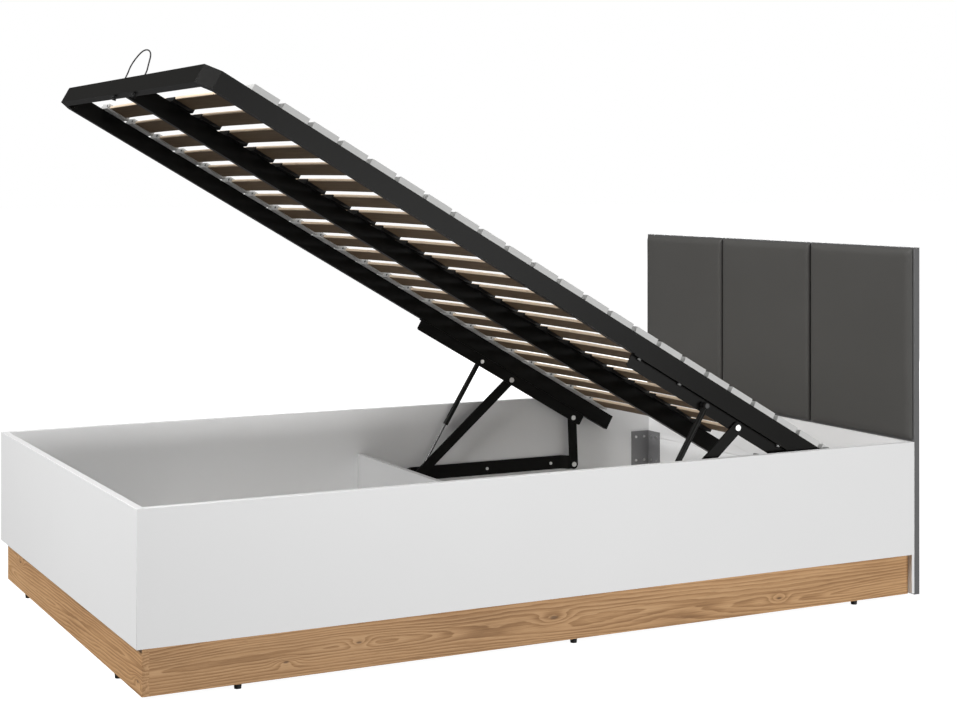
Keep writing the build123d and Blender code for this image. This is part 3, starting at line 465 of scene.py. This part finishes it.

# The ball studs of the gas springs are zinc-plated steel; those at the right are coloured black
# instead, which is painted shade.
stud_finish = Finish("stud", Roughness=0.4)
x, _, _ = stud_finish.axes(stud_finish.place())
# painted shade: the studs at the right are coloured black and not metallic, the ones at the left
# stay zinc
right_side_painted_shade = x.step(0.0, 0.001)
stud_colour = stud_finish.blend(right_side_painted_shade, (0.72, 0.72, 0.71), (0.01, 0.01, 0.01))
stud_finish.shade("Base Color", stud_colour)
stud_finish.shade("Metallic", 1 - right_side_painted_shade)
dress(stud_finish, "gas_spring_studs")

# The headboard is a dark grey board, and three padded panels in smooth grey artificial
# leather are screwed on from behind, edge to edge.
board_grey = Finish("grey_board", Roughness=0.5)
fine = board_grey.noise(board_grey.place(), 500, 3)
board_grey.shade(
    "Base Color", board_grey.blend(fine, (0.098, 0.098, 0.100), (0.118, 0.118, 0.120))
)
board_grey.bump(fine, 0.0001)
dress(board_grey, "headboard_board")

pad_cover = Finish("grey_leather", Roughness=0.6, Specular_IOR_Level=0.35)
hide = pad_cover.place()
cells = pad_cover.node(
    "ShaderNodeTexVoronoi", {"feature": "DISTANCE_TO_EDGE"}, {"Vector": hide, "Scale": 700}
)
creases = cells.step(0.0, 0.25)
broad = pad_cover.noise(hide, 5, 3)
pad_cover.shade(
    "Base Color", pad_cover.blend(broad, (0.062, 0.0605, 0.057), (0.069, 0.0675, 0.064))
)
pad_cover.shade("Roughness", 0.56 + broad * 0.10)
pad_cover.bump(creases, 0.00008)

pad_back = 1.0162
pad_bottom = 0.4045
pad_top = 0.9015
pad_rise = 0.011
pad_crown = 0.0012
pad_bottom_roll = 0.016
pad_top_roll = 0.020
roll_steps = 9
pad_columns = 40
pad_rows = 48


def edge_steps(low, high, low_roll, high_roll, middle):
    """Positions from low to high, crowded in the rounded edges, and the height of the
    pad over each: the sine of an angle whose cosine gives the distance from the edge."""
    angle = np.linspace(0, pi / 2, roll_steps)
    inner = np.linspace(low + low_roll, high - high_roll, middle)[1:-1]
    low_edge = low + low_roll * (1 - np.cos(angle))
    high_edge = high - high_roll * (1 - np.cos(angle[::-1]))
    place = np.concatenate([low_edge, inner, high_edge])
    rise = np.concatenate([np.sin(angle), np.ones(len(inner)), np.sin(angle[::-1])])
    return place, rise


def pad_mesh(name, left, right, left_roll, right_roll):
    """Closed pad: the back is flat, and the front stands off it by the product of the
    rises across and up, with a shallow crown of 1 - (distance from the middle) squared."""
    across, across_rise = edge_steps(left, right, left_roll, right_roll, pad_columns)
    up, up_rise = edge_steps(pad_bottom, pad_top, pad_bottom_roll, pad_top_roll, pad_rows)
    x, z = np.meshgrid(across, up, indexing="ij")
    rise = np.outer(across_rise, up_rise)
    from_middle = (x - (left + right) / 2) / (right - left) * 2
    from_centre = (z - (pad_bottom + pad_top) / 2) / (pad_top - pad_bottom) * 2
    crown = pad_crown * (1 - from_middle**2) * (1 - from_centre**2)
    front = np.stack([x, pad_back - rise * pad_rise - crown, z], axis=-1)
    back = np.stack([x, np.full_like(x, pad_back), z], axis=-1)
    columns, rows = x.shape
    index = np.arange(columns * rows).reshape(columns, rows)
    corners = (index[:-1, :-1], index[1:, :-1], index[1:, 1:], index[:-1, 1:])
    front_faces = np.stack(corners, axis=-1).reshape(-1, 4)
    edge = np.ones((columns, rows), dtype=bool)
    edge[1:-1, 1:-1] = False
    back_index = np.where(edge, index, index + columns * rows)
    corners = (back_index[:-1, 1:], back_index[1:, 1:], back_index[1:, :-1], back_index[:-1, :-1])
    back_faces = np.stack(corners, axis=-1).reshape(-1, 4)
    points = np.vstack([front.reshape(-1, 3), back.reshape(-1, 3)])
    faces = np.vstack([front_faces, back_faces])
    used, faces = np.unique(faces, return_inverse=True)
    faces = faces.reshape(-1, 4).tolist()
    return new_piece(name, points[used], faces, pad_cover, "base")


cover_voxel = 0.005
cover_pressure = 4
cover_travel = 0.0015
settling_frames = 20


def stuff(pad):
    """Remeshes a pad evenly and lets a short cloth simulation under pressure tighten its
    cover; no point moves further than the travel, and the back stays on the board."""
    remesh = pad.modifiers.new("even", "REMESH")
    remesh.mode = "VOXEL"
    remesh.voxel_size = cover_voxel
    bpy.context.view_layer.objects.active = pad
    bpy.ops.object.modifier_apply(modifier=remesh.name)
    start = np.empty(len(pad.data.vertices) * 3)
    pad.data.vertices.foreach_get("co", start)
    start = start.reshape(-1, 3)
    cloth = pad.modifiers.new("cover", "CLOTH")
    cloth.settings.use_pressure = True
    cloth.settings.uniform_pressure_force = cover_pressure
    cloth.settings.effector_weights.gravity = 0
    cloth.settings.quality = 5
    cloth.point_cache.frame_start = 1
    cloth.point_cache.frame_end = settling_frames
    for number in range(1, settling_frames + 1):
        scene.frame_set(number)
    shape = pad.evaluated_get(bpy.context.evaluated_depsgraph_get()).to_mesh()
    moved = np.empty(len(shape.vertices) * 3)
    shape.vertices.foreach_get("co", moved)
    travel = moved.reshape(-1, 3) - start
    distance = np.linalg.norm(travel, axis=1, keepdims=True)
    travel *= np.minimum(1, cover_travel / np.maximum(distance, 1e-9))
    pad.modifiers.remove(cloth)
    scene.frame_set(1)
    finished = start + travel
    finished[:, 1] = np.minimum(finished[:, 1], pad_back)
    pad.data.vertices.foreach_set("co", finished.ravel())
    pad.data.polygons.foreach_set("use_smooth", [True] * len(pad.data.polygons))
    subdivision = pad.modifiers.new("smooth", "SUBSURF")
    subdivision.levels = 1
    subdivision.render_levels = 1


pad_places = (
    ("pad_left", "headboard_pad_left", -0.6290, -0.2105, 0.030, 0.009),
    ("pad_centre", "headboard_pad_centre", -0.2095, 0.2095, 0.009, 0.009),
    ("pad_right", "headboard_pad_right", 0.2105, 0.6290, 0.009, 0.030),
)
for name, node, left, right, left_roll, right_roll in pad_places:
    pad = pad_mesh(name, left, right, left_roll, right_roll)
    stuff(pad)
    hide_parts(node)

# The lift fitting and the tubes of the slat frame are steel with a matt black powder
# coat. The base rails are screwed inside the long sides, and the lift rails are bolted
# under the tubes.
powder = Finish("black_powder_coat", Roughness=0.40, Specular_IOR_Level=0.07)
coat = powder.place()
peel = powder.noise(coat, 1100, 2)
drift = powder.noise(coat, 4, 2)
powder.shade("Base Color", powder.blend(drift, (0.006, 0.006, 0.0055), (0.010, 0.0096, 0.0088)))
powder.bump(peel, 0.00008)
dress(
    powder,
    "base_rail_right",
    "base_rail_left",
    "short_arm_right",
    "short_arm_left",
    "long_arm_right",
    "long_arm_left",
    "gas_cylinder_right",
    "gas_cylinder_left",
    "lift_rail_right",
    "lift_rail_left",
    "foot_crossbar",
    "side_rail_right",
    "side_rail_left",
    "centre_beam",
)

# The rods of the gas springs are dark polished steel. They slide in the black cylinders
# and hang on the base rails at their lower ends.
rod_steel = Finish("rod_steel", Metallic=1.0)
turning = rod_steel.noise(rod_steel.place(scale=(1, 1, 8)), 300, 2)
rod_steel.shade("Base Color", rod_steel.blend(turning, (0.05, 0.05, 0.05), (0.10, 0.10, 0.10)))
rod_steel.shade("Roughness", 0.25 + turning * 0.1)
dress(rod_steel, "gas_rod_right", "gas_rod_left")

# Slats are glued from thin layers of birch: pale long edges with fine glue lines, and faces with
# straight grain along the slat, coloured dark brown as painted shade.
slat_pitch = 0.0794
first_slat_middle = 0.142
slat_bottom = 0.048
slat_bow = 0.004
slat_reach = 0.593
layer_thickness = 0.0016
face_half_width = 0.0243
slat_half_width = 0.0258
birch = Finish("birch", Roughness=0.6, Specular_IOR_Level=0.06)
x, y, z = birch.axes(birch.place())
from_origin_y = y - float(frame_origin[1])
from_origin_z = z - float(frame_origin[2])
along_rail = from_origin_y * cos(tilt) - from_origin_z * sin(tilt)
above_rail = from_origin_y * sin(tilt) + from_origin_z * cos(tilt)
slat_phase = ((along_rail - first_slat_middle) / slat_pitch + 0.5).math("FRACT")
from_middle = ((slat_phase - 0.5) * slat_pitch).math("ABSOLUTE")
is_edge = from_middle.step(face_half_width, slat_half_width)
grain_line = birch.node(
    "ShaderNodeCombineXYZ", inputs={0: x * 6, 1: along_rail * 260, 2: above_rail * 260}
)
fine_grain = birch.noise(grain_line, 1, 4, 0.6)
broad_line = birch.node(
    "ShaderNodeCombineXYZ", inputs={0: x * 1.2, 1: along_rail * 14, 2: above_rail * 14}
)
broad_grain = birch.noise(broad_line, 1, 2)
tone = fine_grain * 0.6 + broad_grain * 0.5
# painted shade: the birch faces get dark browns instead of their pale wood colour
settings = {
    "stops": [
        (0.30, (0.22, 0.160, 0.105)),
        (0.55, (0.165, 0.115, 0.072)),
        (0.85, (0.11, 0.072, 0.042)),
    ]
}
face_colour_painted_shade = birch.node("ShaderNodeValToRGB", settings, {"Fac": tone})
bow_here = (1 - (x * x) / slat_reach**2) * slat_bow
layer = ((above_rail - slat_bottom - bow_here) / layer_thickness).math("FRACT")
glue_line = 1 - (layer - 0.5).math("ABSOLUTE").step(0.0, 0.10)
edge_colour = birch.blend(fine_grain, (0.86, 0.72, 0.56), (0.74, 0.58, 0.42))
edge_colour = birch.blend(glue_line * 0.35, edge_colour, (0.42, 0.30, 0.19))
birch.shade("Base Color", birch.blend(is_edge, face_colour_painted_shade, edge_colour))
birch.bump(fine_grain, 0.0002)
dress(birch, "slats")

# Slat ends sit in caps of pale grey rubbery plastic, which are pegged onto the side
# rails, so that the slats can bend without rubbing on the steel.
cap_plastic = Finish("cap_plastic", Roughness=0.55, Specular_IOR_Level=0.35)
cloud = cap_plastic.noise(cap_plastic.place(), 40, 3)
cap_plastic.shade("Base Color", cap_plastic.blend(cloud, (0.53, 0.53, 0.52), (0.59, 0.59, 0.58)))
cap_plastic.bump(cap_plastic.noise(cap_plastic.place(), 1500, 2), 0.00006)
dress(cap_plastic, "slat_caps")

# The floor is a wide plain sheet. It looks white to the camera, much darker in
# reflections and darker still to bounced light, so that the undersides stay deep.
floor_finish = Finish("floor", Roughness=0.9, Specular_IOR_Level=0.0)
rays = floor_finish.node("ShaderNodeLightPath")
seen = Value(floor_finish, rays.socket.node.outputs["Is Camera Ray"])
mirrored = Value(floor_finish, rays.socket.node.outputs["Is Glossy Ray"])
through = Value(floor_finish, rays.socket.node.outputs["Is Transmission Ray"])
shows = seen.math("MAXIMUM", mirrored * 0.15).math("MAXIMUM", through)
floor_colour = floor_finish.blend(shows, (0.10, 0.10, 0.10), (0.40, 0.40, 0.40))
floor_finish.shade("Base Color", floor_colour)
floor_glow = floor_finish.blend(shows, (0.0, 0.0, 0.0), (0.97, 0.97, 0.97))
floor_finish.shade("Emission Color", floor_glow)
floor_finish.shader.inputs["Emission Strength"].default_value = 1.0
floor_points = np.array([(-60, -60, 0), (60, -60, 0), (60, 60, 0), (-60, 60, 0)], dtype=float)
floor_mesh = bpy.data.meshes.new("floor")
floor_mesh.from_pydata(floor_points.tolist(), [], [(0, 1, 2, 3)])
floor_mesh.materials.append(floor_finish.material)
floor = bpy.data.objects.new("floor", floor_mesh)
scene.collection.objects.link(floor)

# Soft studio light: an even surround, a far panel low on the right, a high one beyond
# the foot end, a weak one above, and one behind on the left for the sides in the shade.
world = bpy.data.worlds.new("surround")
world.use_nodes = True
scene.world = world
tree = world.node_tree
background = tree.nodes["Background"]
background.inputs["Color"].default_value = (1, 1, 1, 1)
path = tree.nodes.new("ShaderNodeLightPath")
largest = tree.nodes.new("ShaderNodeMath")
largest.operation = "MAXIMUM"
tree.links.new(path.outputs["Is Camera Ray"], largest.inputs[0])
tree.links.new(path.outputs["Is Transmission Ray"], largest.inputs[1])
surround = 0.10
scale = tree.nodes.new("ShaderNodeMath")
scale.operation = "MULTIPLY_ADD"
tree.links.new(largest.outputs[0], scale.inputs[0])
scale.inputs[1].default_value = 1 - surround
scale.inputs[2].default_value = surround
tree.links.new(scale.outputs[0], background.inputs["Strength"])


def light_panel(name, place, target, width, height, power):
    """A rectangular studio light that faces a target and that the camera does not see."""
    data = bpy.data.lights.new(name, "AREA")
    data.shape = "RECTANGLE"
    data.size = width
    data.size_y = height
    data.energy = power
    lamp = bpy.data.objects.new(name, data)
    lamp.location = place
    lamp.visible_camera = False
    direction = Vector(target) - Vector(place)
    lamp.rotation_euler = direction.to_track_quat("-Z", "Y").to_euler()
    scene.collection.objects.link(lamp)


light_panel("right_panel", (6.6, 1.7, 0.40), (0, 0, 0.5), 3.2, 0.7, 292)
light_panel("foot_panel_light", (0.3, -5.2, 3.9), (0, 0, 0.5), 3.0, 1.6, 375)
light_panel("top_panel", (0.3, -0.4, 4.2), (0, 0, 0.4), 2.4, 2.4, 75)
light_panel("rear_panel", (-4.6, 4.4, 1.4), (0, 0, 0.4), 2.6, 1.6, 150)
